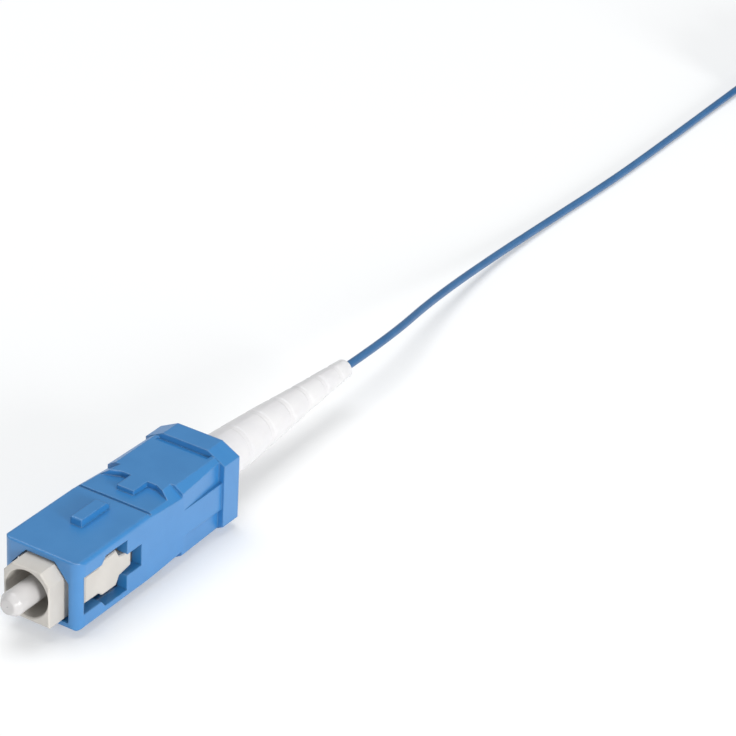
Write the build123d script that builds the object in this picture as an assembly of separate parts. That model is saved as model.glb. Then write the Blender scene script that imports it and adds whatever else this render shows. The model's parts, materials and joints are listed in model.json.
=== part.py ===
"""Square push-pull fibre connector on a 0.9 mm pigtail, in millimetres.

The origin is the centre of the ferrule's polished end face, +X runs back along the ferrule
axis towards the cable, +Z is the key side and +Y is to the left when looking along +X.
Sizes across the axis grow outwards from the ferrule, and places along it start at its face.
"""
import math
import os

from build123d import *

os.makedirs("parts", exist_ok=True)

# Clearances of the sliding and seated fits
SLIDE_CLEARANCE = 0.07
SEAT_GAP = 0.02
FIBRE_CLEARANCE = 0.05
GLASS_CLEARANCE = 0.0005
GUIDE_CLEARANCE = 0.12
END_STOP = 0.1

# Travel of the two sliding groups
FERRULE_TRAVEL = 1.2
GRIP_FORWARD = 0.55
GRIP_BACK = 0.4

# Ferrule
FERRULE_D = 2.499
FERRULE_LENGTH = 10.5
END_FACE_D = 1.6
TIP_CONE = 0.65
SEAT_TAPER = 0.04
REAR_EDGE = 0.1
FUNNEL_D = 1.1
FUNNEL_LENGTH = 1.3
FERRULE_REAR_D = FERRULE_D - SEAT_TAPER

# Fibre
GLASS_D = 0.125
COATING_D = 0.25
BUFFER_D = 0.9
STRIPPED_STOP = 0.6
BEAD_START = 1.0
BEAD_TIP_D = 0.35
INNER_BUFFER_TAIL = 5.5
COATING_SETBACK = 0.5

# Ferrule flange
FERRULE_SEAT = 2.2
FLANGE_THICKNESS = 2.0
FLANGE_PLAY = 0.15
CUP_WALL = 0.45
CUP_LENGTH = 0.8
HUB_WALL = 0.25
HUB_FLOOR = 0.7
TUBE_WALL = 0.6
TUBE_LENGTH = 7.3
FLANGE_FRONT = FERRULE_LENGTH - FERRULE_SEAT
FLANGE_REAR = FLANGE_FRONT + FLANGE_THICKNESS
CUP_FRONT = FLANGE_FRONT - CUP_LENGTH
HUB_D = FERRULE_D + 2 * HUB_WALL
HUB_END = FERRULE_LENGTH + HUB_FLOOR
CUP_D = FERRULE_D + 2 * CUP_WALL
TUBE_BORE_D = BUFFER_D + 2 * FIBRE_CLEARANCE
TUBE_D = TUBE_BORE_D + 2 * TUBE_WALL
TUBE_END = HUB_END + TUBE_LENGTH

# Spring
SPRING_WIRE = 0.45
SPRING_PLAY = 0.08
SPRING_LENGTH = 6.5
SPRING_TURNS = 5.5
SPRING_MEAN_D = HUB_D + 2 * SPRING_PLAY + SPRING_WIRE
SPRING_END = FLANGE_REAR + SPRING_LENGTH

# Plug frame
CHAMBER_PLAY = 0.4205
CHAMBER_D = SPRING_MEAN_D + SPRING_WIRE + 2 * CHAMBER_PLAY
SOCKET_STEP = 0.025
SOCKET_D = CHAMBER_D + 2 * SOCKET_STEP
SOCKET_MOUTH = 0.12
SOCKET_DEPTH = 4.9
SHOULDER_THICKNESS = 0.6
SHOULDER_PLAY = 0.15
CHAMBER_FRONT = FLANGE_FRONT - SEAT_GAP
SOCKET_END = CHAMBER_FRONT - SHOULDER_THICKNESS
FRAME_FRONT = SOCKET_END - SOCKET_DEPTH
FRAME_WALL = 0.6
FRAME_SIDE_WALL = 0.78
NOSE_WALL = 0.205
NOSE_TOP_WALL = 0.375
FRAME_HALF_HEIGHT = CHAMBER_D / 2 + FRAME_WALL
BODY_HALF_WIDTH = CHAMBER_D / 2 + FRAME_SIDE_WALL
NOSE_HALF_WIDTH = SOCKET_D / 2 + NOSE_WALL
NOSE_HALF_HEIGHT = SOCKET_D / 2 + NOSE_TOP_WALL
NOSE_CUT_Y = 1.03
NOSE_CUT_Z = 1.18
NOSE_BEVEL = 0.12
BODY_CORNER = 0.5
STOP_NOSE = 6.5
FRAME_END = SPRING_END + STOP_NOSE
KEYWAYS = 4
KEYWAY_WIDTH = 0.7
KEYWAY_LENGTH = 3.4
KEYWAY_DEPTH = 0.32
CATCH_FROM_END = 4.7
CATCH_LENGTH = 1.8
CATCH_RAMP = 0.9
CATCH_HEIGHT = 2.2
CATCH_SETBACK = 0.25
CATCH_ROOT = 0.3

# Grip housing across the axis
TOP_WALL = 0.58
SIDE_WALL = 1.2
CAVITY_HALF_HEIGHT = FRAME_HALF_HEIGHT + SLIDE_CLEARANCE
CAVITY_HALF_WIDTH = BODY_HALF_WIDTH + SLIDE_CLEARANCE
CAVITY_CORNER = 0.25
HALF_HEIGHT = CAVITY_HALF_HEIGHT + TOP_WALL
HALF_WIDTH = CAVITY_HALF_WIDTH + SIDE_WALL
LONG_EDGE_R = 0.45
FRONT_CORNER_R = 1.1
FRONT_BEVEL = 0.15
REAR_RISE = 0.4
REAR_HALF_HEIGHT = HALF_HEIGHT + REAR_RISE
REAR_CUT_Y = 0.95
REAR_CUT_Z = 0.6
COLLAR_OVER_SIDE = 0.27
COLLAR_OVER_TOP = 0.87
COLLAR_HALF_WIDTH = HALF_WIDTH + COLLAR_OVER_SIDE
COLLAR_HALF_HEIGHT = HALF_HEIGHT + COLLAR_OVER_TOP
COLLAR_CUT_Y = 2.09
COLLAR_CUT_Z = 1.09
COLLAR_BEVEL = 0.2
MOUTH_STEP = 0.3
MOUTH_DEPTH = 3.0
MOUTH_CORNER = 0.6

# Grip housing along the axis, from its own front edge
NOSE_STANDS_OUT = 2.07
GRIP_FRONT = FRAME_FRONT + NOSE_STANDS_OUT
WINDOW_FRONT_X = 0.85
WINDOW_STEP_X = 3.5
WINDOW_WIDE_X = 4.1
WINDOW_WIDE_END_X = 7.45
WINDOW_END_X = 9.7
WINDOW_BEAM = 0.9
WINDOW_STEP_Z = 0.75
WINDOW_SLOT_Z = 1.2
CORNER_GAP = 0.2
CORNER_FILL_END_X = 9.6
KEY_X = 5.4
KEY_END_X = 9.7
KEY_HALF_WIDTH = 0.65
KEY_HEIGHT = 0.8
KEY_BEVEL = 0.1
KEY_TAIL = 0.5
KEY_TAIL_DROP = 0.35
EDGE_CUT_START = 7.5
EDGE_CUT_END = 16.2
EDGE_CUT_Y = 0.95
EDGE_CUT_Z = 0.65
GROOVE_X = 11.1
GROOVE_WIDTH = 0.3
GROOVE_DEPTH = 0.2
RECESS_DROP = 0.22
TAB_X = 13.0
TAB_HALF_WIDTH = 1.0
STEP_SLANT_X = 14.1
STEP_SLANT_Y = 2.1
STEP_X = 15.2
RIB_X = 15.0
RIB_LENGTH = 2.9
RIB_HALF_WIDTH = 0.6
RIB_DEPTH = 0.37
SIDE_TAPER_X = 16.4
SIDE_TAPER_DEPTH = 0.4
SIDE_PANEL_HALF_HEIGHT = 1.5
DIP_X = 22.0
DIP_DEPTH = 0.25
DIP_HALF_WIDTH = 3.1
COLLAR_X = 22.75
COLLAR_END_X = 25.45

# Plug frame's wide body and latch lands, from the grip's front edge
BODY_X = 10.25
LAND_OUTLINE = ((1.3, 1.45), (3.7, 1.45), (4.3, 1.95), (6.4, 1.95), (6.9, 1.1), (8.7, 0.8))
LAND_STANDS_OUT = 0.7
LAND_RAMP = 0.5
LAND_BEVEL = 0.12

# Stop ring
STOP_NOSE_PLAY = 0.1
STOP_NOSE_BEVEL = 0.2
STOP_FLANGE_THICKNESS = 1.2
STOP_FLANGE_INSET = 0.2
STOP_FLANGE_CORNER = 0.5
STOP_FLOOR = 1.5
STOP_BORE_PLAY = 0.15
NIPPLE_BORE_D = 1.2
NIPPLE_WALL = 1.1
NIPPLE_D = NIPPLE_BORE_D + 2 * NIPPLE_WALL
NIPPLE_LENGTH = 5.5
NIPPLE_END = FRAME_END + STOP_FLANGE_THICKNESS + NIPPLE_LENGTH
BARBS = 3
BARB_PITCH = 1.6
BARB_LENGTH = 1.1
BARB_HEIGHT = 0.2

# Boot, with its outline from the end of the nipple
BARB_BITE = 0.15
BOOT_R = 2.75
BOOT_OUTLINE = ((0.3, 2.72), (10.85, 2.12), (17.85, 1.58), (22.85, 1.27), (26.45, 1.04))
BOOT_END = NIPPLE_END + BOOT_OUTLINE[-1][0]
TIP_ROUND = 0.2
SOCKET_CONE = 1.1
RINGS = 6
RING_FROM_TIP = 2.3
RING_PITCH = 3.1
RING_PITCH_GROWTH = 0.28
RING_WIDTH = 1.1
RING_DEPTH = 0.09

# Hank of the length that the photograph does not show
HANK_CENTRE_X = 168.0
HANK_CENTRE_Y = -1.5
HANK_RUN = 13.5
HANK_FOLD_R = 4.05
HANK_COLUMNS = 3
HANK_ROWS = 6
HANK_PITCH = 0.95
HANK_ROW_RISE = 0.85
HANK_WIDEST_R = HANK_FOLD_R + (HANK_COLUMNS - 1) / 2 * HANK_PITCH + HANK_PITCH / 4
TIE_THICKNESS = 0.25
TIE_WIDTH = 2.0
TIE_CORNER = 0.2
TIES_APART = 7.0

# Cord on the surface that the collar stands on
FLOOR = -COLLAR_HALF_HEIGHT
FLOOR_GAP = 0.01
LIE = FLOOR + FLOOR_GAP + BUFFER_D / 2
ROUTE = (
    (BOOT_END, 0.0, 0.0),
    (65.5, 0.0, -0.15),
    (78.0, 2.5, -1.9),
    (93.0, 4.1, -3.6),
    (107.8, 4.1, LIE),
    (122.5, 3.5, LIE),
    (137.0, 3.6, LIE),
    (150.0, 3.8, LIE),
    (HANK_CENTRE_X - HANK_RUN / 2, HANK_CENTRE_Y + HANK_WIDEST_R, LIE + TIE_THICKNESS),
)
CORD_LENGTH = 1000.0


def grip(x):
    """A place measured from the grip's front edge."""
    return GRIP_FRONT + x


def box(x, y, z):
    """A block between two limits on each axis."""
    size = [high - low for low, high in (x, y, z)]
    middle = [(low + high) / 2 for low, high in (x, y, z)]
    return Pos(*middle) * Box(*size)


def cylinder(x0, x1, diameter):
    """A round bar along the ferrule axis."""
    return extrude(Plane.YZ.offset(x0) * Circle(diameter / 2), amount=x1 - x0)


def turned(*points):
    """A solid turned about the ferrule axis from points of place and radius."""
    return revolve(Plane.XZ * Polygon(*points, align=None), Axis.X)


def cone(x0, x1, d0, d1):
    """A cone along the ferrule axis."""
    return turned((x0, 0), (x1, 0), (x1, d1 / 2), (x0, d0 / 2))


def across(points, half_width):
    """An outline in X and Z, drawn out to both sides."""
    return extrude(Plane.XZ * Polygon(*points, align=None), amount=half_width, both=True)


def plan(points, z0, z1):
    """An outline in X and Y, raised from z0 to z1."""
    return extrude(Plane.XY.offset(z0) * Polygon(*points, align=None), amount=z1 - z0, dir=(0, 0, 1))


def section(points, x0, x1):
    """An outline in Y and Z, drawn out along the axis."""
    return extrude(Plane.YZ.offset(x0) * Polygon(*points, align=None), amount=x1 - x0, dir=(1, 0, 0))


def rounded_bar(x0, x1, half_width, half_height, radius):
    """A rectangular bar along the axis with rounded long edges."""
    outline = RectangleRounded(2 * half_width, 2 * half_height, radius)
    return extrude(Plane.YZ.offset(x0) * outline, amount=x1 - x0)


def octagon(half_width, half_height, cut_y, cut_z):
    """A rectangle with its four corners cut."""
    inner_y = half_width - cut_y
    inner_z = half_height - cut_z
    right = [(inner_y, -half_height), (half_width, -inner_z), (half_width, inner_z), (inner_y, half_height)]
    return right + [(-y, z) for y, z in reversed(right)]


def both_ways(shape, plane):
    """A shape and its mirror image."""
    return shape + mirror(shape, plane)


def save(shape, name):
    """Write one node, which is one solid."""
    (solid,) = shape.solids()
    solid.label = name
    export_step(solid, f"parts/{name}.step")
    print(f"{name:16s} volume {solid.volume:.4f} mm3")


def front_block():
    """The upper half of the grip's front section, back to the raised part."""
    block = rounded_bar(grip(0), grip(STEP_X), HALF_WIDTH, HALF_HEIGHT, LONG_EDGE_R)
    footprint = Pos(grip(STEP_X), 0) * RectangleRounded(2 * STEP_X, 2 * HALF_WIDTH, FRONT_CORNER_R)
    block &= extrude(footprint, amount=HALF_HEIGHT)
    groove_floor = HALF_HEIGHT - GROOVE_DEPTH
    profile = [
        (grip(0), 0),
        (grip(0), HALF_HEIGHT - FRONT_BEVEL),
        (grip(FRONT_BEVEL), HALF_HEIGHT),
        (grip(GROOVE_X), HALF_HEIGHT),
        (grip(GROOVE_X), groove_floor),
        (grip(GROOVE_X + GROOVE_WIDTH), groove_floor),
        (grip(GROOVE_X + GROOVE_WIDTH), HALF_HEIGHT),
        (grip(STEP_X), HALF_HEIGHT - RECESS_DROP),
        (grip(STEP_X), 0),
    ]
    return block & across(profile, HALF_WIDTH)


def raised_block():
    """The upper half of the grip's rear section, with the tab that reaches forward."""
    outline = [
        (grip(COLLAR_X), HALF_WIDTH),
        (grip(STEP_SLANT_X), HALF_WIDTH),
        (grip(STEP_X), STEP_SLANT_Y),
        (grip(STEP_X), TAB_HALF_WIDTH),
        (grip(TAB_X), TAB_HALF_WIDTH),
    ]
    outline += [(x, -y) for x, y in reversed(outline)]
    cap = plan(outline, HALF_HEIGHT - 2 * RECESS_DROP, REAR_HALF_HEIGHT)
    core = box((grip(STEP_X), grip(COLLAR_X)), (-HALF_WIDTH, HALF_WIDTH), (0, HALF_HEIGHT))
    edges = octagon(HALF_WIDTH, REAR_HALF_HEIGHT, REAR_CUT_Y, REAR_CUT_Z)
    block = (cap + core) & section(edges, grip(TAB_X), grip(COLLAR_X))
    dip = [
        (grip(DIP_X), REAR_HALF_HEIGHT),
        (grip(COLLAR_X), REAR_HALF_HEIGHT - DIP_DEPTH),
        (grip(COLLAR_X), REAR_HALF_HEIGHT),
    ]
    return block - across(dip, DIP_HALF_WIDTH)


def slant():
    """The plane that cuts a growing flat along the grip's left upper edge."""
    start = Vector(grip(EDGE_CUT_START), HALF_WIDTH, HALF_HEIGHT)
    upper = Vector(grip(EDGE_CUT_END), HALF_WIDTH - EDGE_CUT_Y, HALF_HEIGHT)
    lower = Vector(grip(EDGE_CUT_END), HALF_WIDTH, HALF_HEIGHT - EDGE_CUT_Z)
    return Plane(origin=start, x_dir=upper - start, z_dir=(upper - start).cross(lower - start))


def outer_half():
    """The outside of the grip above the axis, without its key and collar."""
    body = front_block() + raised_block()
    cut_end = Plane.YZ.offset(grip(EDGE_CUT_END))
    front = split(body, cut_end, keep=Keep.BOTTOM)
    rear = split(body, cut_end, keep=Keep.TOP)
    front = split(front, slant(), keep=Keep.BOTTOM)
    front = split(mirror(front, Plane.XZ), slant(), keep=Keep.BOTTOM)
    taper = [
        (grip(SIDE_TAPER_X), HALF_WIDTH),
        (grip(COLLAR_X), HALF_WIDTH - SIDE_TAPER_DEPTH),
        (grip(COLLAR_X), HALF_WIDTH),
    ]
    rear -= both_ways(plan(taper, SIDE_PANEL_HALF_HEIGHT, REAR_HALF_HEIGHT), Plane.XZ)
    return front + rear


def window_outline():
    """The latch window in the grip's side, seen from the side."""
    wide_z = HALF_HEIGHT - WINDOW_BEAM
    upper = [
        (grip(WINDOW_FRONT_X), wide_z - WINDOW_STEP_Z),
        (grip(WINDOW_STEP_X), wide_z - WINDOW_STEP_Z),
        (grip(WINDOW_WIDE_X), wide_z),
        (grip(WINDOW_WIDE_END_X), wide_z),
        (grip(WINDOW_WIDE_END_X), WINDOW_SLOT_Z),
        (grip(WINDOW_END_X), WINDOW_SLOT_Z),
    ]
    return upper + [(x, -z) for x, z in reversed(upper)]


def key():
    """The key on the grip's top, with a falling tail."""
    root = HALF_HEIGHT - TOP_WALL / 2
    top = HALF_HEIGHT + KEY_HEIGHT
    outline = [
        (grip(KEY_X), root),
        (grip(KEY_X), top - KEY_BEVEL),
        (grip(KEY_X + KEY_BEVEL), top),
        (grip(KEY_END_X - KEY_TAIL), top),
        (grip(KEY_END_X), top - KEY_TAIL_DROP),
        (grip(KEY_END_X), root),
    ]
    return across(outline, KEY_HALF_WIDTH)


def corner_fill():
    """The fill of the cavity's upper left corner, along the nose's cut corner."""
    slope = math.hypot(NOSE_CUT_Y, NOSE_CUT_Z)
    nose_line = (NOSE_HALF_WIDTH - NOSE_CUT_Y) * NOSE_CUT_Z + NOSE_HALF_HEIGHT * NOSE_CUT_Y
    line = nose_line + CORNER_GAP * slope
    high_y = (line - CAVITY_HALF_HEIGHT * NOSE_CUT_Y) / NOSE_CUT_Z
    low_z = (line - CAVITY_HALF_WIDTH * NOSE_CUT_Z) / NOSE_CUT_Y
    corner = [
        (high_y, CAVITY_HALF_HEIGHT),
        (CAVITY_HALF_WIDTH, CAVITY_HALF_HEIGHT),
        (CAVITY_HALF_WIDTH, low_z),
    ]
    return section(corner, grip(0), grip(CORNER_FILL_END_X))


def grip_housing():
    """The sliding outer housing that the fingers hold."""
    front = grip(0)
    end = grip(COLLAR_END_X)
    collar_outline = octagon(COLLAR_HALF_WIDTH, COLLAR_HALF_HEIGHT, COLLAR_CUT_Y, COLLAR_CUT_Z)
    collar = section(collar_outline, grip(COLLAR_X), end)
    collar = chamfer(collar.faces().sort_by(Axis.X)[-1].edges(), COLLAR_BEVEL)
    shape = both_ways(outer_half(), Plane.XY) + collar + key()
    cavity = rounded_bar(front, end, CAVITY_HALF_WIDTH, CAVITY_HALF_HEIGHT, CAVITY_CORNER)
    shape -= cavity - both_ways(corner_fill(), Plane.XZ)
    mouth_y = CAVITY_HALF_WIDTH + MOUTH_STEP
    mouth_z = CAVITY_HALF_HEIGHT + MOUTH_STEP
    shape -= rounded_bar(end - MOUTH_DEPTH, end, mouth_y, mouth_z, MOUTH_CORNER)
    shape -= across(window_outline(), HALF_WIDTH)
    rib_z = (CAVITY_HALF_HEIGHT - RIB_DEPTH, CAVITY_HALF_HEIGHT + TOP_WALL / 2)
    rib = box((grip(RIB_X), grip(RIB_X + RIB_LENGTH)), (-RIB_HALF_WIDTH, RIB_HALF_WIDTH), rib_z)
    return shape + both_ways(rib, Plane.XY)


def latch_land():
    """The raised land on the frame's left side that a latch hook snaps over."""
    top_y = CAVITY_HALF_WIDTH + LAND_STANDS_OUT
    root_y = NOSE_HALF_WIDTH - 2 * NOSE_WALL
    outline = [(grip(x), z) for x, z in LAND_OUTLINE]
    outline += [(x, -z) for x, z in reversed(outline)]
    top = Plane.XZ.offset(-top_y) * Polygon(*outline, align=None)
    land = extrude(top, amount=top_y - root_y, dir=(0, -1, 0))
    land = chamfer(land.faces().sort_by(Axis.Y)[-1].edges(), LAND_BEVEL)
    front = outline[0][0]
    ramp = [(front, top_y - LAND_RAMP), (front + LAND_RAMP, top_y), (front, top_y)]
    return land - plan(ramp, -HALF_HEIGHT, HALF_HEIGHT)


def plug_frame():
    """The inner frame that carries the ferrule and the latch lands."""
    high = NOSE_HALF_HEIGHT
    wide = NOSE_HALF_WIDTH
    side = [(wide, -high), (wide, high - NOSE_CUT_Z), (wide - NOSE_CUT_Y, high)]
    nose = section(side + [(-y, z) for y, z in reversed(side)], FRAME_FRONT, grip(BODY_X))
    nose = chamfer(nose.faces().sort_by(Axis.X)[0].edges(), NOSE_BEVEL)
    outline = octagon(BODY_HALF_WIDTH, FRAME_HALF_HEIGHT, BODY_CORNER, BODY_CORNER)
    shape = nose + section(outline, grip(BODY_X), FRAME_END) + both_ways(latch_land(), Plane.XZ)
    shape -= cylinder(FRAME_FRONT, SOCKET_END, SOCKET_D)
    shape -= cone(FRAME_FRONT, FRAME_FRONT + SOCKET_MOUTH, SOCKET_D + 2 * SOCKET_MOUTH, SOCKET_D)
    shape -= cylinder(SOCKET_END, CHAMBER_FRONT, CUP_D + 2 * SHOULDER_PLAY)
    shape -= cylinder(CHAMBER_FRONT, FRAME_END, CHAMBER_D)
    keyway_x = (CHAMBER_FRONT - SHOULDER_THICKNESS / 2, CHAMBER_FRONT + KEYWAY_LENGTH)
    keyway_z = (CHAMBER_D / 2 - KEYWAY_DEPTH, CHAMBER_D / 2 + FRAME_WALL / 2)
    shape += both_ways(box(keyway_x, (-KEYWAY_WIDTH / 2, KEYWAY_WIDTH / 2), keyway_z), Plane.XY)
    catch_x = FRAME_END - CATCH_FROM_END
    catch_z = CATCH_HEIGHT / 2 + END_STOP
    hole_x = (catch_x - END_STOP, catch_x + CATCH_LENGTH + END_STOP)
    shape -= box(hole_x, (-BODY_HALF_WIDTH, BODY_HALF_WIDTH), (-catch_z, catch_z))
    channel_x = (grip(RIB_X) - GRIP_FORWARD - END_STOP, grip(RIB_X + RIB_LENGTH) + GRIP_BACK + END_STOP)
    channel_y = RIB_HALF_WIDTH + GUIDE_CLEARANCE
    channel_floor = CAVITY_HALF_HEIGHT - RIB_DEPTH - END_STOP
    channel = box(channel_x, (-channel_y, channel_y), (channel_floor, FRAME_HALF_HEIGHT))
    return shape - both_ways(channel, Plane.XY)


def ferrule():
    """The ceramic ferrule with its polished face, cone, fine hole and funnel."""
    shape = cone(0, TIP_CONE, END_FACE_D, FERRULE_D) + cylinder(TIP_CONE, CUP_FRONT, FERRULE_D)
    shape += cone(CUP_FRONT, FERRULE_LENGTH, FERRULE_D, FERRULE_REAR_D)
    shape = chamfer(shape.edges().filter_by(GeomType.CIRCLE).sort_by(Axis.X)[-1], REAR_EDGE)
    hole_d = GLASS_D + 2 * GLASS_CLEARANCE
    shape -= cylinder(0, FERRULE_LENGTH, hole_d)
    return shape - cone(FERRULE_LENGTH - FUNNEL_LENGTH, FERRULE_LENGTH, hole_d, FUNNEL_D)


def ferrule_flange():
    """The metal holder pressed on the ferrule, with its tail tube."""
    disc = cylinder(FLANGE_FRONT, FLANGE_REAR, CHAMBER_D - 2 * FLANGE_PLAY)
    slot_y = KEYWAY_WIDTH / 2 + GUIDE_CLEARANCE
    slot_floor = CHAMBER_D / 2 - KEYWAY_DEPTH - GUIDE_CLEARANCE
    slot = box((FLANGE_FRONT, FLANGE_REAR), (-slot_y, slot_y), (slot_floor, CHAMBER_D / 2))
    for turn in range(KEYWAYS):
        disc -= Rot(X=360 / KEYWAYS * turn) * slot
    shape = disc + cylinder(CUP_FRONT, FLANGE_FRONT, CUP_D)
    shape += cylinder(FLANGE_REAR, HUB_END, HUB_D)
    shape += cylinder(HUB_END, TUBE_END, TUBE_D)
    shape -= cone(CUP_FRONT, FERRULE_LENGTH, FERRULE_D, FERRULE_REAR_D)
    return shape - cylinder(FERRULE_LENGTH, TUBE_END, TUBE_BORE_D)


def spring():
    """The compression spring with closed end turns."""
    start = FLANGE_REAR + SEAT_GAP + SPRING_WIRE / 2
    length = SPRING_END - SEAT_GAP - SPRING_WIRE / 2 - start
    path = Helix(pitch=length / SPRING_TURNS, height=length, radius=SPRING_MEAN_D / 2)
    coil = sweep(Plane(origin=path @ 0, z_dir=path % 0) * Circle(SPRING_WIRE / 2), path)
    end_turn = Torus(SPRING_MEAN_D / 2, SPRING_WIRE / 2)
    coil += [end_turn, Pos(0, 0, length) * end_turn]
    return Pos(start, 0, 0) * Rot(Y=90) * coil


def stop_ring():
    """The rear body that closes the frame, takes the spring and carries the boot."""
    shape = cylinder(SPRING_END, FRAME_END, CHAMBER_D - 2 * STOP_NOSE_PLAY)
    shape = chamfer(shape.faces().sort_by(Axis.X)[0].edges(), STOP_NOSE_BEVEL)
    flange_y = BODY_HALF_WIDTH - STOP_FLANGE_INSET
    flange_z = FRAME_HALF_HEIGHT - STOP_FLANGE_INSET
    flange_end = FRAME_END + STOP_FLANGE_THICKNESS
    shape += rounded_bar(FRAME_END, flange_end, flange_y, flange_z, STOP_FLANGE_CORNER)
    shape += cylinder(FRAME_END, NIPPLE_END, NIPPLE_D)
    catch_x = FRAME_END - CATCH_FROM_END
    root = CHAMBER_D / 2 - CATCH_ROOT
    reach = BODY_HALF_WIDTH - CATCH_SETBACK
    catch = [
        (catch_x, root),
        (catch_x + CATCH_RAMP, reach),
        (catch_x + CATCH_LENGTH, reach),
        (catch_x + CATCH_LENGTH, root),
    ]
    shape += both_ways(plan(catch, -CATCH_HEIGHT / 2, CATCH_HEIGHT / 2), Plane.XZ)
    for step in range(BARBS):
        x = NIPPLE_END - BARB_PITCH * (step + 1)
        shape += cone(x, x + BARB_LENGTH, NIPPLE_D + 2 * BARB_HEIGHT, NIPPLE_D)
    shape -= cylinder(SPRING_END, FRAME_END - STOP_FLOOR, TUBE_D + 2 * STOP_BORE_PLAY)
    return shape - cylinder(SPRING_END, NIPPLE_END, NIPPLE_BORE_D)


def boot_radius(x):
    """The boot's outside radius at a place along its outline."""
    for (x0, r0), (x1, r1) in zip(BOOT_OUTLINE, BOOT_OUTLINE[1:]):
        if x <= x1:
            return r0 + (r1 - r0) * (x - x0) / (x1 - x0)
    return BOOT_OUTLINE[-1][1]


def boot():
    """The tapering strain relief with its shallow rings."""
    root_x = FRAME_END + STOP_FLANGE_THICKNESS + SEAT_GAP
    socket_r = NIPPLE_D / 2 + BARB_HEIGHT - BARB_BITE
    bore_r = BUFFER_D / 2 + FIBRE_CLEARANCE
    tip_r = BOOT_OUTLINE[-1][1]
    cone_x = NIPPLE_END + SEAT_GAP
    points = [(root_x, socket_r), (root_x, BOOT_R)]
    points += [(NIPPLE_END + x, r) for x, r in BOOT_OUTLINE[:-1]]
    points += [(BOOT_END - TIP_ROUND, tip_r), (BOOT_END, tip_r - TIP_ROUND), (BOOT_END, bore_r)]
    points += [(cone_x + SOCKET_CONE, bore_r), (cone_x, socket_r)]
    shape = turned(*points)
    for k in range(RINGS):
        back = RING_FROM_TIP + RING_PITCH * k + RING_PITCH_GROWTH * k * (k - 1) / 2
        x = BOOT_END - back
        top = boot_radius(x - NIPPLE_END) + RING_DEPTH
        floor = top - 2 * RING_DEPTH
        half = RING_WIDTH / 2
        shape -= turned((x - half, top), (x - half / 2, floor), (x + half / 2, floor), (x + half, top))
    return shape


def cord_radii(points):
    """Each corner's radius: 0.45 of its shorter run over the tangent of half its turn."""
    radii = []
    for before, here, after in zip(points, points[1:], points[2:]):
        run_in = Vector(*here) - Vector(*before)
        run_out = Vector(*after) - Vector(*here)
        turn = math.radians(run_in.get_angle(run_out))
        radii.append(0.45 * min(run_in.length, run_out.length) / math.tan(turn / 2))
    return radii


def cord_path():
    """The free fibre's centreline, straight runs joined by arcs."""
    radii = cord_radii(ROUTE)
    print("cord radii", [round(radius, 1) for radius in radii])
    return FilletPolyline(*ROUTE, radius=radii)


def cord(path):
    """The free fibre from the boot to its hank."""
    tube = sweep(Plane(origin=path @ 0, z_dir=path % 0) * Circle(BUFFER_D / 2), path)
    plain = math.pi * BUFFER_D ** 2 / 4 * path.length
    print(f"cord length {path.length:.2f}, volume {tube.volume:.4f} against {plain:.4f}")
    return tube


def hank_limits():
    """The radius of the hank's outside at its folds, its bottom and its height."""
    outer = HANK_WIDEST_R + BUFFER_D / 2
    height = BUFFER_D + (HANK_ROWS - 1) * HANK_ROW_RISE
    return outer, FLOOR + TIE_THICKNESS, height


def hank():
    """The outer shape of the wound length, two straight runs joined by two folds."""
    outer, bottom, height = hank_limits()
    inner = 2 * HANK_FOLD_R - outer
    ring = SlotCenterToCenter(HANK_RUN, 2 * outer) - SlotCenterToCenter(HANK_RUN, 2 * inner)
    shape = extrude(ring, amount=height)
    ends = shape.faces().sort_by(Axis.Z)
    shape = fillet(ends[0].edges() + ends[-1].edges(), BUFFER_D / 2)
    return Pos(HANK_CENTRE_X, HANK_CENTRE_Y, bottom) * shape


def tie(x):
    """A flat band round both runs of the hank."""
    outer, bottom, height = hank_limits()
    width = 2 * (outer + SEAT_GAP)
    rim = 2 * TIE_THICKNESS
    band = RectangleRounded(width + rim, height + rim, TIE_CORNER) - Rectangle(width, height)
    place = Plane.YZ.offset(x) * Pos(HANK_CENTRE_Y, bottom + height / 2)
    return extrude(place * band, amount=TIE_WIDTH / 2, both=True)


def epoxy_bead():
    """The glue that fills the ferrule's funnel round the fibre."""
    start = FERRULE_LENGTH - BEAD_START
    bead = cone(start, FERRULE_LENGTH, BEAD_TIP_D, FUNNEL_D - 2 * SEAT_GAP)
    return bead - cylinder(start, FERRULE_LENGTH, COATING_D)


glass_end = FERRULE_LENGTH - STRIPPED_STOP
buffer_end = TUBE_END + INNER_BUFFER_TAIL
coating_end = buffer_end - COATING_SETBACK
boot_fibre_front = buffer_end + FERRULE_TRAVEL + 3 * END_STOP
inner_buffer = cylinder(FERRULE_LENGTH + SEAT_GAP, buffer_end, BUFFER_D)
route_path = cord_path()

save(grip_housing(), "grip_housing")
save(plug_frame(), "plug_frame")
save(ferrule(), "ferrule")
save(ferrule_flange(), "ferrule_flange")
save(spring(), "spring")
save(stop_ring(), "stop_ring")
save(boot(), "boot")
save(cylinder(0, glass_end, GLASS_D), "bare_fibre")
save(cylinder(glass_end, coating_end, COATING_D), "coated_fibre")
save(epoxy_bead(), "epoxy_bead")
save(inner_buffer - cylinder(0, coating_end, COATING_D), "inner_buffer")
save(cylinder(boot_fibre_front, BOOT_END, BUFFER_D), "boot_fibre")
save(cord(route_path), "fibre_cord")
save(hank(), "cord_hank")
save(tie(HANK_CENTRE_X - TIES_APART / 2), "hank_tie_1")
save(tie(HANK_CENTRE_X + TIES_APART / 2), "hank_tie_2")

wound = CORD_LENGTH - route_path.length
mean_turn = 2 * (HANK_RUN + math.pi * HANK_FOLD_R)
print(f"{wound:.1f} mm is wound in {wound / mean_turn:.2f} turns")
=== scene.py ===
"""Dresses the packed fibre connector: camera, tail, spring, materials and studio light."""
import json
import math

import bpy
from mathutils import Matrix, Vector


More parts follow.
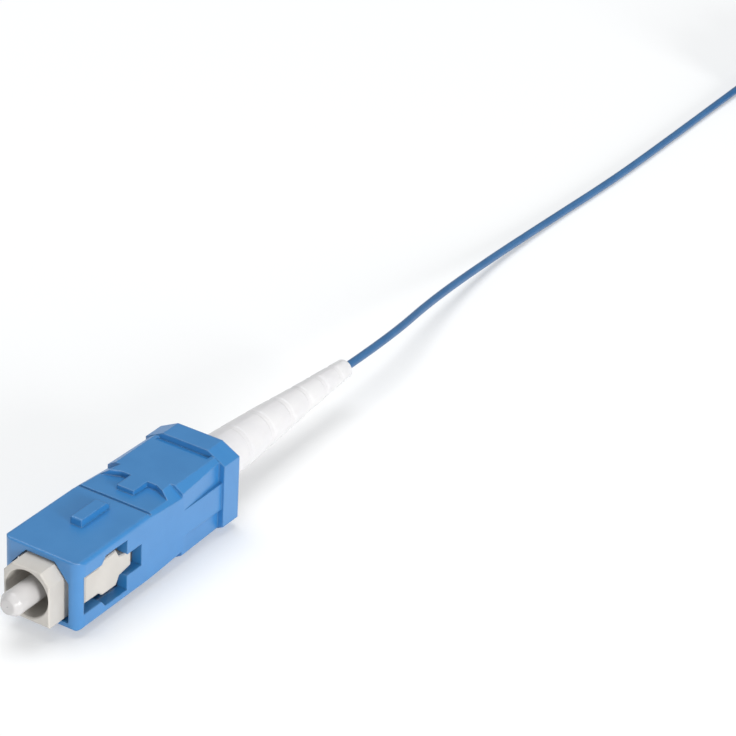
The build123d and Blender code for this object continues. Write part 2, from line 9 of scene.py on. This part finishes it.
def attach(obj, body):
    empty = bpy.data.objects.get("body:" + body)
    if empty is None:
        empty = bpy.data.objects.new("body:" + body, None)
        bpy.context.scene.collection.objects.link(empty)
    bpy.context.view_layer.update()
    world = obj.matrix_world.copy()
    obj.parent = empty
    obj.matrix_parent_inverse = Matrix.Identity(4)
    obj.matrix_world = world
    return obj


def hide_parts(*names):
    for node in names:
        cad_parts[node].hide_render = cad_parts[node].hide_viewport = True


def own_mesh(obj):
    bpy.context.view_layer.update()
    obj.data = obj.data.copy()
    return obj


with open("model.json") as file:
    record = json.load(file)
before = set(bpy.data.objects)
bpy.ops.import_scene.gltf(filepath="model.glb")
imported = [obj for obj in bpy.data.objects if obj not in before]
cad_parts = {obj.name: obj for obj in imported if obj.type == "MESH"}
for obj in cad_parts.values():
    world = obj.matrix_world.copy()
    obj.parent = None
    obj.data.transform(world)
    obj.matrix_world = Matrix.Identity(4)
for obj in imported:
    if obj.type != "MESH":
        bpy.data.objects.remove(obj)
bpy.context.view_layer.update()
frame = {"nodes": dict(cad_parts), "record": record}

# Photograph's camera
IMAGE = 736
FOCAL_PX = 2984.5
SENSOR_MM = 36.0
AZIMUTH, ELEVATION, ROLL = -58.75, 29.41, 3.34
TARGET = Vector((0.05792, -0.00196, 0.0))
DISTANCE = 0.31556
CLIP = (0.01, 50.0)

# The surface that the grip's collar stands on
FLOOR = -0.00457
FLOOR_HALF = 6.0
FLOOR_WHITE = 0.97
# The share of plain white in the floor as it is seen: the rest keeps the shadow
FLOOR_GLOW = 0.3

# Free tail, the same route as the solids
RADIUS = 0.00045
LIE = FLOOR + RADIUS + 0.00001
TIE = 0.00025
EXIT = (0.05645, 0.0, 0.0)
ROUTE = [
    EXIT,
    (0.0655, 0.0, -0.00015),
    (0.0780, 0.0025, -0.0019),
    (0.0930, 0.0041, -0.0036),
    (0.1078, 0.0041, LIE),
    (0.1225, 0.0035, LIE),
    (0.1370, 0.0036, LIE),
    (0.1500, 0.0038, LIE),
    (0.16125, 0.0037375, LIE + TIE),
]
ROUND_STEPS = 5
SPAN_STEPS = 6

# The wound length, put away as a hank
HANK_CENTRE = (0.168, -0.0015)
HANK_RUN = 0.0135
HANK_FOLD = 0.00405
HANK_TURNS = 17
HANK_COLUMNS = 3
HANK_PITCH = 0.00095
HANK_RISE = 0.00085
FOLD_STEPS = 8

# Moulded plastic: the noises' waves per metre, and how much each one shows
DRIFT_WAVES = 350.0
PATCH_WAVES = 1800.0
MIDDLE = (0.35, 0.65)
GRAIN_SPREAD = 0.05
GRAIN_RELIEF = 0.000012
GRAIN_STRENGTH = 0.35
# Painted shade darkens creases where a corner closes in on the surface, and a painted highlight
# lightens the edges where it is open
CREASE_REACH = 1.5
CREASE_CLOSED = (0.55, 0.9)
CREASE_SHADE_SHARE = 0.45
CREASE_SHADE_DARKENS = 0.7
EDGE_HIGHLIGHT_TURN = (0.1, 0.8)
EDGE_HIGHLIGHT_SHARE = 0.15
EDGE_HIGHLIGHT_PATCHY = 0.3
EDGE_HIGHLIGHT_OPEN = (0.85, 0.97)
EDGE_HIGHLIGHT_LIGHTENS = 0.45

BEVEL_SAMPLES = 8
OPENNESS_SAMPLES = 6
# Most of the noise's values lie between these
NOISE = (0.3, 0.7)

# Studio: each lamp's place, width and power, all aimed at the middle of what is seen
AIM = (0.05, 0.0, 0.0)
LAMPS = {
    "key": ((-0.25, -0.92, 0.22), 0.35, 7.2),
    "front": ((-0.85, -0.3, 0.35), 0.8, 1.6),
    "overhead": ((0.1, 0.2, 1.0), 0.9, 6.9),
}
ROOM_COLOUR = (0.92, 0.97, 1.0, 1.0)
ROOM_STRENGTH = 0.33


def camera():
    """The camera that the photograph was taken with."""
    az, el, roll = (math.radians(v) for v in (AZIMUTH, ELEVATION, ROLL))
    back = Vector((math.sin(az) * math.cos(el), -math.cos(az) * math.cos(el), math.sin(el)))
    right = Vector((math.cos(az), math.sin(az), 0.0))
    up = back.cross(right)
    x = right * math.cos(roll) + up * math.sin(roll)
    y = up * math.cos(roll) - right * math.sin(roll)
    data = bpy.data.cameras.new("camera")
    data.sensor_width = SENSOR_MM
    data.lens = FOCAL_PX / IMAGE * data.sensor_width
    data.clip_start, data.clip_end = CLIP
    obj = bpy.data.objects.new("camera", data)
    eye = TARGET + back * DISTANCE
    obj.matrix_world = Matrix((
        (x.x, y.x, back.x, eye.x),
        (x.y, y.y, back.y, eye.y),
        (x.z, y.z, back.z, eye.z),
        (0.0, 0.0, 0.0, 1.0),
    ))
    bpy.context.collection.objects.link(obj)
    bpy.context.scene.camera = obj


def hank_slot(n):
    """The fold radius and height of one turn: rows fill inwards and outwards by turns."""
    row, step = divmod(n, HANK_COLUMNS)
    inward = row % 2 == 0
    column = step if inward else HANK_COLUMNS - 1 - step
    stagger = HANK_PITCH / 4 if inward else -HANK_PITCH / 4
    radius = HANK_FOLD + ((HANK_COLUMNS - 1) / 2 - column) * HANK_PITCH + stagger
    return radius, LIE + TIE + row * HANK_RISE


def hank_points():
    """The wound length: out along one run, round a fold, and back along the other.

    Each turn climbs to its new row, and then moves over to its new column, on the way back.
    """
    x, y = HANK_CENTRE
    far, near = x + HANK_RUN / 2, x - HANK_RUN / 2
    angles = [math.pi * i / FOLD_STEPS for i in range(FOLD_STEPS + 1)]
    fold = [(math.sin(a), math.cos(a)) for a in angles]
    points = []
    for n in range(HANK_TURNS):
        radius, z = hank_slot(n)
        next_radius, next_z = hank_slot(n + 1)
        points += [(near + HANK_RUN * share, y + radius, z) for share in (1 / 3, 2 / 3)]
        points += [(far + radius * out, y + radius * across, z) for out, across in fold]
        points += [
            (far - HANK_RUN / 4, y - radius, z),
            (far - HANK_RUN / 2, y - radius, next_z),
            (near + HANK_RUN / 4, y - next_radius, next_z),
        ]
        points += [
            (near - next_radius * out, y - next_radius * across, next_z) for out, across in fold
        ]
    return points


def tail():
    """The free buffered fibre with its wound length, as one smooth line."""
    curve = bpy.data.curves.new("fibre_tail", "CURVE")
    curve.dimensions = "3D"
    # The points carry the radius, since Blender's box of a curve takes it from them
    curve.bevel_depth = 1.0
    curve.bevel_resolution = ROUND_STEPS
    curve.resolution_u = SPAN_STEPS
    curve.use_fill_caps = True
    spline = curve.splines.new("NURBS")
    points = ROUTE + hank_points()
    spline.points.add(len(points) - 1)
    for point, place in zip(spline.points, points):
        point.co = (*place, 1.0)
        point.radius = RADIUS
    spline.order_u = 3
    spline.use_endpoint_u = True
    obj = bpy.data.objects.new("fibre_tail", curve)
    bpy.context.collection.objects.link(obj)
    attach(obj, "core")
    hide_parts("fibre_cord", "cord_hank")
    return obj


def spring():
    """The spring as a piece of its own, copied from the solid spring and carried by the core."""
    solid = frame["nodes"]["spring"]
    wire = bpy.data.objects.new("spring_wire", solid.data.copy())
    wire.matrix_world = solid.matrix_world
    bpy.context.collection.objects.link(wire)
    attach(wire, "core")
    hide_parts("spring")
    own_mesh(wire)
    return wire


def linear(red, green, blue):
    """A colour given as it looks on screen, in the renderer's linear values."""
    def one(v):
        v /= 255
        return v / 12.92 if v <= 0.04045 else ((v + 0.055) / 1.055) ** 2.4
    return (one(red), one(green), one(blue), 1.0)


class Look:
    """A node material that is built step by step."""

    def __init__(self, name):
        self.material = bpy.data.materials.new(name)
        self.material.use_nodes = True
        self.nodes = self.material.node_tree.nodes
        self.links = self.material.node_tree.links
        self.shader = self.nodes["Principled BSDF"]
        self.place = self.nodes.new("ShaderNodeTexCoord").outputs["Object"]

    def set(self, **values):
        """Plain values on the shader's own sockets."""
        for name, value in values.items():
            self.shader.inputs[name.replace("_", " ")].default_value = value
        return self

    def colour(self, source):
        self.links.new(source, self.shader.inputs["Base Color"])
        return self

    def roughness(self, source):
        self.links.new(source, self.shader.inputs["Roughness"])
        return self

    def noise(self, scale, detail=3.0, roughness=0.55, stretch=None):
        """Noise in the part's own space, its scale in waves per metre."""
        node = self.nodes.new("ShaderNodeTexNoise")
        node.inputs["Scale"].default_value = scale
        node.inputs["Detail"].default_value = detail
        node.inputs["Roughness"].default_value = roughness
        source = self.place
        if stretch:
            mapping = self.nodes.new("ShaderNodeMapping")
            mapping.inputs["Scale"].default_value = stretch
            self.links.new(source, mapping.inputs["Vector"])
            source = mapping.outputs["Vector"]
        self.links.new(source, node.inputs["Vector"])
        return node.outputs["Fac"]

    def ramp(self, source, low, high, value_low, value_high):
        """Values from low to high, taken to values from value_low to value_high."""
        node = self.nodes.new("ShaderNodeMapRange")
        node.inputs["From Min"].default_value = low
        node.inputs["From Max"].default_value = high
        node.inputs["To Min"].default_value = value_low
        node.inputs["To Max"].default_value = value_high
        self.links.new(source, node.inputs["Value"])
        return node.outputs["Result"]

    def times(self, a, b):
        node = self.nodes.new("ShaderNodeMath")
        node.operation = "MULTIPLY"
        self.links.new(a, node.inputs[0])
        self.links.new(b, node.inputs[1])
        return node.outputs["Value"]

    def mix(self, factor, a, b):
        """From a to b by the factor; each is a colour, or an output that gives one."""
        node = self.nodes.new("ShaderNodeMix")
        node.data_type = "RGBA"
        self.links.new(factor, node.inputs["Factor"])
        for value, socket in ((a, node.inputs["A"]), (b, node.inputs["B"])):
            if isinstance(value, tuple):
                socket.default_value = value
            else:
                self.links.new(value, socket)
        return node.outputs["Result"]

    def bevel(self, radius):
        """The surface's direction, with its edges rounded to the radius."""
        node = self.nodes.new("ShaderNodeBevel")
        node.samples = BEVEL_SAMPLES
        node.inputs["Radius"].default_value = radius
        return node.outputs["Normal"]

    def edges(self, radius):
        """0 on a face, and rising over the last stretch before an edge."""
        turn = self.nodes.new("ShaderNodeVectorMath")
        turn.operation = "DISTANCE"
        flat = self.nodes.new("ShaderNodeNewGeometry").outputs["Normal"]
        self.links.new(self.bevel(radius), turn.inputs[0])
        self.links.new(flat, turn.inputs[1])
        return turn.outputs["Value"]

    def openness(self, distance):
        """1 on open faces and outer edges, and about a half down in a corner."""
        node = self.nodes.new("ShaderNodeAmbientOcclusion")
        node.samples = OPENNESS_SAMPLES
        node.only_local = True
        node.inputs["Distance"].default_value = distance
        return node.outputs["AO"]

    def relief(self, height, distance, strength, edge=0.0):
        """Fine surface relief, over edges rounded to the given radius."""
        bump = self.nodes.new("ShaderNodeBump")
        bump.inputs["Strength"].default_value = strength
        bump.inputs["Distance"].default_value = distance
        self.links.new(height, bump.inputs["Height"])
        if edge:
            self.links.new(self.bevel(edge), bump.inputs["Normal"])
        self.links.new(bump.outputs["Normal"], self.shader.inputs["Normal"])
        return self


# The colour of the painted shade in creases
def crease_shade_colour(colour):
    return tuple(v * CREASE_SHADE_DARKENS for v in colour[:3]) + (1.0,)


# The colour of the painted highlight on edges
def edge_highlight_colour(colour):
    return tuple(v + (1.0 - v) * EDGE_HIGHLIGHT_LIGHTENS for v in colour[:3]) + (1.0,)


def moulded(name, light, dark, roughness, edge, grain=9000.0, specular=0.4):
    """Moulded plastic: slight colour drift, a fine spark-eroded grain and soft edges, with a
    painted highlight on open edges and painted shade in creases.

    The two colours are as they look on screen, and the edge is the radius of its rounding.
    """
    look = Look(name)
    light, dark = linear(*light), linear(*dark)
    drift = look.noise(DRIFT_WAVES, 2.0)
    grains = look.noise(grain, 4.0, 0.6)
    colour = look.mix(look.ramp(drift, *MIDDLE, 0.0, 1.0), light, dark)
    if edge:
        openness = look.openness(CREASE_REACH * edge)
        # Painted shade: darker in creases and corners, where shade falls
        painted_crease_shade = look.ramp(openness, *CREASE_CLOSED, CREASE_SHADE_SHARE, 0.0)
        colour = look.mix(painted_crease_shade, colour, crease_shade_colour(dark))
        # Painted highlight: paler in patches along open, outer edges
        edge_highlight = look.ramp(look.edges(edge), *EDGE_HIGHLIGHT_TURN, 0.0, EDGE_HIGHLIGHT_SHARE)
        patches = look.ramp(look.noise(PATCH_WAVES, 3.0), *MIDDLE, EDGE_HIGHLIGHT_PATCHY, 1.0)
        outer = look.ramp(openness, *EDGE_HIGHLIGHT_OPEN, 0.0, 1.0)
        colour = look.mix(look.times(look.times(edge_highlight, patches), outer), colour, edge_highlight_colour(light))
    look.colour(colour)
    look.roughness(look.ramp(grains, *NOISE, roughness - GRAIN_SPREAD, roughness + GRAIN_SPREAD))
    look.relief(grains, GRAIN_RELIEF, GRAIN_STRENGTH, edge)
    return look.set(Specular_IOR_Level=specular)


def grey(v):
    return (v, v, v)


def materials():
    """One finish for each of the record's material slots."""
    looks = {
        "grip_blue": moulded(
            "grip_blue", (50, 124, 184), (45, 120, 180), 0.35, 0.0002, specular=1.0,
        ),
        "frame_white": moulded("frame_white", (198, 193, 186), (192, 187, 180), 0.45, 0.0001),
        "boot_white": moulded(
            "boot_white", (217, 215, 215), (213, 211, 212), 0.5, 0.0002, grain=5000.0,
        ),
        "buffer_blue": moulded(
            "buffer_blue", (58, 103, 147), (53, 97, 141), 0.35, 0.0, grain=4000.0,
        ),
        "ceramic": moulded(
            "ceramic", (200, 197, 196), (195, 192, 191), 0.2, 0.0004, grain=20000.0, specular=0.6,
        ),
        "tie_white": moulded("tie_white", (216, 218, 220), (210, 212, 214), 0.4, 0.00003),
    }
    # Soft white plastic lets some light through
    looks["boot_white"].set(
        Subsurface_Weight=0.6, Subsurface_Scale=0.002, Subsurface_Radius=grey(1.0),
    )

    metal = Look("plated_metal")
    scratches = metal.noise(1500.0, 4.0, 0.6, stretch=(8.0, 1.0, 1.0))
    metal.colour(metal.mix(scratches, linear(206, 203, 196), linear(184, 180, 172)))
    metal.roughness(metal.ramp(scratches, *NOISE, 0.22, 0.34))
    metal.relief(scratches, 0.000004, 0.4, 0.00004)
    looks["plated_metal"] = metal.set(Metallic=1.0)

    wire = Look("spring_steel")
    drawn = wire.noise(2500.0)
    wire.colour(wire.mix(drawn, linear(176, 176, 176), linear(150, 150, 152)))
    wire.roughness(wire.ramp(drawn, *NOISE, 0.24, 0.36))
    wire.relief(drawn, 0.000003, 0.3)
    looks["spring_steel"] = wire.set(Metallic=1.0)

    glass = Look("fibre_glass")
    flow = glass.noise(3000.0)
    glass.colour(glass.mix(flow, linear(236, 240, 242), linear(226, 232, 236)))
    glass.relief(flow, 0.000001, 0.1)
    looks["fibre_glass"] = glass.set(Transmission_Weight=0.6, Roughness=0.08, IOR=1.46)

    glue = Look("epoxy")
    cloud = glue.noise(4000.0)
    glue.colour(glue.mix(cloud, linear(196, 142, 60), linear(172, 118, 44)))
    glue.relief(cloud, 0.000005, 0.3)
    looks["epoxy"] = glue.set(Transmission_Weight=0.3, Roughness=0.15)
    return {slot: look.material for slot, look in looks.items()}


def dress(looks, cord, wire):
    """Gives every solid, the tail and the spring the finish of its slot."""
    slots = {part["node"]: part["material_slot"] for part in frame["record"]["subparts"]}
    for name, node in frame["nodes"].items():
        node.data.materials.clear()
        node.data.materials.append(looks[slots[name]])
    cord.data.materials.append(looks["buffer_blue"])
    wire.data.materials.clear()
    wire.data.materials.append(looks["spring_steel"])


def floor_material():
    """White where it is seen plainly or in a reflection, but for the object's shadow."""
    material = bpy.data.materials.new("floor")
    material.use_nodes = True
    nodes, links = material.node_tree.nodes, material.node_tree.links
    shader = nodes["Principled BSDF"]
    shader.inputs["Base Color"].default_value = (*grey(FLOOR_WHITE), 1.0)
    shader.inputs["Roughness"].default_value = 0.9
    shader.inputs["Specular IOR Level"].default_value = 0.1
    glow = nodes.new("ShaderNodeEmission")
    glow.inputs["Strength"].default_value = 1.0

    def maths(operation, source, other):
        node = nodes.new("ShaderNodeMath")
        node.operation = operation
        links.new(source, node.inputs[0])
        if isinstance(other, float):
            node.inputs[1].default_value = other
        else:
            links.new(other, node.inputs[1])
        return node.outputs[0]

    ray = nodes.new("ShaderNodeLightPath").outputs
    mirrored = maths("MAXIMUM", ray["Is Glossy Ray"], ray["Is Transmission Ray"])
    seen = maths("MAXIMUM", ray["Is Camera Ray"], mirrored)
    mixed = nodes.new("ShaderNodeMixShader")
    links.new(maths("MULTIPLY", seen, FLOOR_GLOW), mixed.inputs["Fac"])
    links.new(shader.outputs["BSDF"], mixed.inputs[1])
    links.new(glow.outputs["Emission"], mixed.inputs[2])
    links.new(mixed.outputs["Shader"], nodes["Material Output"].inputs["Surface"])
    return material


def stage():
    """The pale floor, which keeps the object's shadow and is white elsewhere."""
    mesh = bpy.data.meshes.new("floor")
    signs = [(-1, -1), (1, -1), (1, 1), (-1, 1)]
    corners = [(x * FLOOR_HALF, y * FLOOR_HALF, FLOOR) for x, y in signs]
    mesh.from_pydata(corners, [], [(0, 1, 2, 3)])
    mesh.materials.append(floor_material())
    floor = bpy.data.objects.new("floor", mesh)
    bpy.context.collection.objects.link(floor)


def lamp(name, place, size, power):
    """A large soft lamp that looks at the aim."""
    data = bpy.data.lights.new(name, "AREA")
    data.shape = "DISK"
    data.size = size
    data.energy = power
    obj = bpy.data.objects.new(name, data)
    obj.location = place
    obj.rotation_euler = (Vector(AIM) - Vector(place)).to_track_quat("-Z", "Y").to_euler()
    bpy.context.collection.objects.link(obj)


def lights():
    """Even light from the room, a key lamp on the right side, and two soft ones."""
    world = bpy.data.worlds.new("studio")
    bpy.context.scene.world = world
    world.use_nodes = True
    room = world.node_tree.nodes["Background"]
    room.inputs["Color"].default_value = ROOM_COLOUR
    room.inputs["Strength"].default_value = ROOM_STRENGTH
    for name, (place, size, power) in LAMPS.items():
        lamp(name, place, size, power)
    bpy.context.scene.view_settings.view_transform = "Standard"


camera()
dress(materials(), tail(), spring())
stage()
lights()

bpy.context.view_layer.update()
